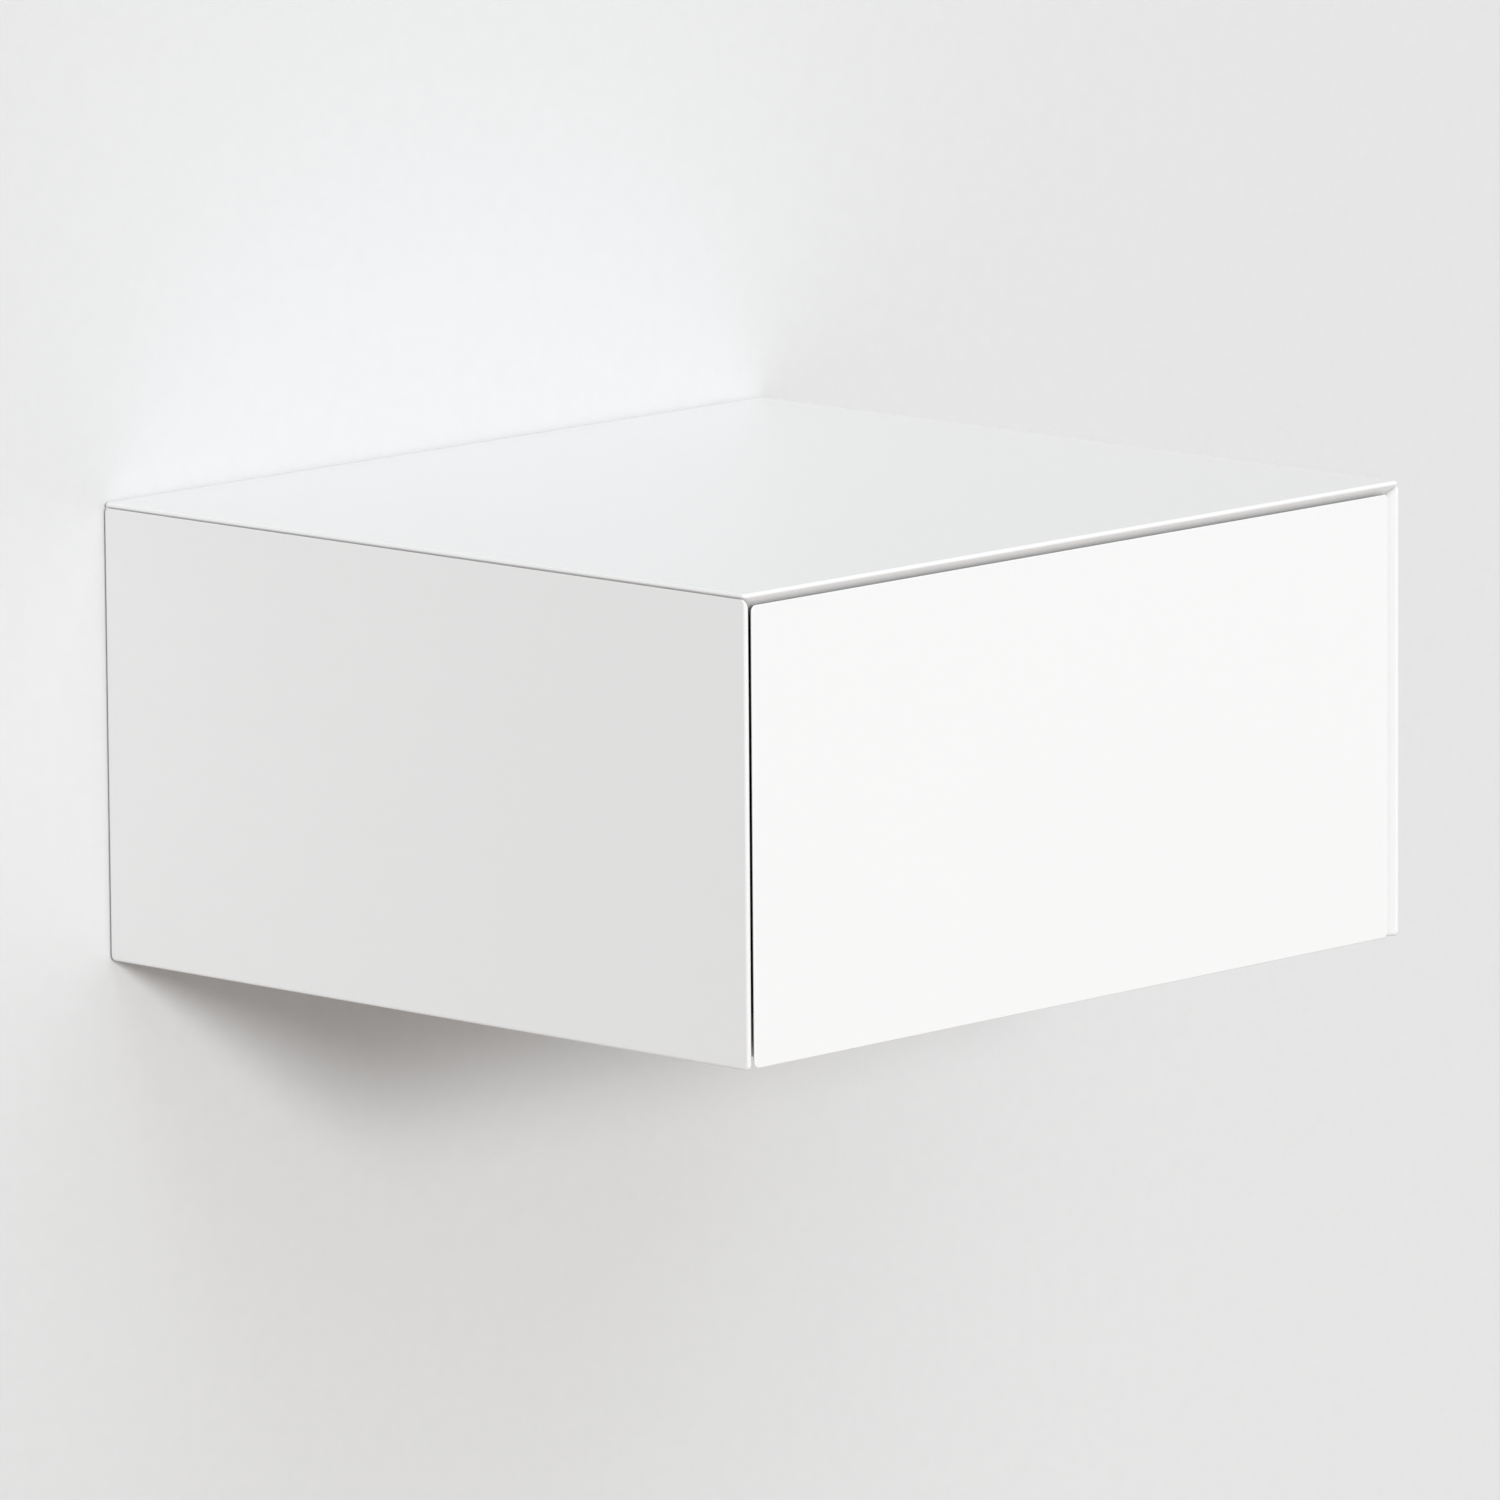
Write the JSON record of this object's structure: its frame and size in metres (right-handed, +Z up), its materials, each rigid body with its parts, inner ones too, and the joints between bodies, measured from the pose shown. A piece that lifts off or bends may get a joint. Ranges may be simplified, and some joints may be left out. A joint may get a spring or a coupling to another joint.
{
  "type": "floating nightstand",
  "caption": "Wall-hung nightstand: a mitred white lacquered box on a bevelled wall cleat, with a handleless push-to-open drawer on ball-bearing slides.",
  "frame": {"origin": "middle of the wall cleat's rear face, on the wall plane", "axes": "+X to the right seen from the front, +Y into the wall (the front faces -Y), +Z up"},
  "size_m": [0.4, 0.37, 0.195],
  "materials": {
    "white_lacquer": "satin lacquer on fibreboard",
    "drawer_board": "matt white foil on board",
    "raw_board": "sanded plywood",
    "zinc_steel": "zinc-plated rolled steel",
    "cage_steel": "oiled spring steel with steel balls",
    "screw_steel": "passivated steel",
    "grey_plastic": "moulded, fine grain",
    "dark_plastic": "moulded, smooth"
  },
  "bodies": {
    "case": {"top_panel": "white_lacquer", "left_side_panel": "white_lacquer", "right_side_panel": "white_lacquer", "bottom_panel": "white_lacquer", "back_panel": "drawer_board", "hanging_rail": "raw_board", "wall_cleat": "raw_board", "left_slide_case_member": "zinc_steel", "right_slide_case_member": "zinc_steel", "left_case_slide_screw_1": "screw_steel", "left_case_slide_screw_2": "screw_steel", "left_case_slide_screw_3": "screw_steel", "right_case_slide_screw_1": "screw_steel", "right_case_slide_screw_2": "screw_steel", "right_case_slide_screw_3": "screw_steel", "push_latch_housing": "grey_plastic", "latch_screw_1": "screw_steel", "latch_screw_2": "screw_steel"},
    "drawer": {"drawer_front": "white_lacquer", "drawer_inner_front": "drawer_board", "drawer_left_side": "drawer_board", "drawer_right_side": "drawer_board", "drawer_back": "drawer_board", "drawer_bottom": "drawer_board", "left_slide_drawer_member": "zinc_steel", "right_slide_drawer_member": "zinc_steel", "left_drawer_slide_screw_1": "screw_steel", "left_drawer_slide_screw_2": "screw_steel", "left_drawer_slide_screw_3": "screw_steel", "right_drawer_slide_screw_1": "screw_steel", "right_drawer_slide_screw_2": "screw_steel", "right_drawer_slide_screw_3": "screw_steel", "front_screw_1": "screw_steel", "front_screw_2": "screw_steel", "front_screw_3": "screw_steel", "front_screw_4": "screw_steel", "latch_strike_plate": "zinc_steel"},
    "left_middle": {"left_slide_middle_member": "zinc_steel"},
    "right_middle": {"right_slide_middle_member": "zinc_steel"},
    "left_outer_cage": {"left_slide_outer_ball_cage": "cage_steel"},
    "right_outer_cage": {"right_slide_outer_ball_cage": "cage_steel"},
    "left_inner_cage": {"left_slide_inner_ball_cage": "cage_steel"},
    "right_inner_cage": {"right_slide_inner_ball_cage": "cage_steel"},
    "latch_plunger": {"push_latch_plunger": "dark_plastic"}
  },
  "joints": [
    {"name": "drawer_slide", "type": "slide", "parent": "case", "child": "drawer", "axis": [0, -1, 0], "range_m": [-0.0012, 0.3]},
    {"name": "left_middle_slide", "type": "slide", "parent": "case", "child": "left_middle", "axis": [0, -1, 0], "range_m": [-0.0006, 0.15]},
    {"name": "right_middle_slide", "type": "slide", "parent": "case", "child": "right_middle", "axis": [0, -1, 0], "range_m": [-0.0006, 0.15]},
    {"name": "left_outer_cage_roll", "type": "slide", "parent": "case", "child": "left_outer_cage", "axis": [0, -1, 0], "range_m": [-0.0003, 0.075]},
    {"name": "right_outer_cage_roll", "type": "slide", "parent": "case", "child": "right_outer_cage", "axis": [0, -1, 0], "range_m": [-0.0003, 0.075]},
    {"name": "left_inner_cage_roll", "type": "slide", "parent": "case", "child": "left_inner_cage", "axis": [0, -1, 0], "range_m": [-0.0009, 0.225]},
    {"name": "right_inner_cage_roll", "type": "slide", "parent": "case", "child": "right_inner_cage", "axis": [0, -1, 0], "range_m": [-0.0009, 0.225]},
    {"name": "latch_plunger_slide", "type": "slide", "parent": "case", "child": "latch_plunger", "axis": [0, -1, 0], "range_m": [-0.00012, 0.03]}
  ],
  "couplings": [
    {"joint": "left_middle_slide", "follows": "drawer_slide", "ratio": 0.5},
    {"joint": "right_middle_slide", "follows": "drawer_slide", "ratio": 0.5},
    {"joint": "left_outer_cage_roll", "follows": "drawer_slide", "ratio": 0.25},
    {"joint": "right_outer_cage_roll", "follows": "drawer_slide", "ratio": 0.25},
    {"joint": "left_inner_cage_roll", "follows": "drawer_slide", "ratio": 0.75},
    {"joint": "right_inner_cage_roll", "follows": "drawer_slide", "ratio": 0.75},
    {"joint": "latch_plunger_slide", "follows": "drawer_slide", "ratio": 0.1}
  ]
}
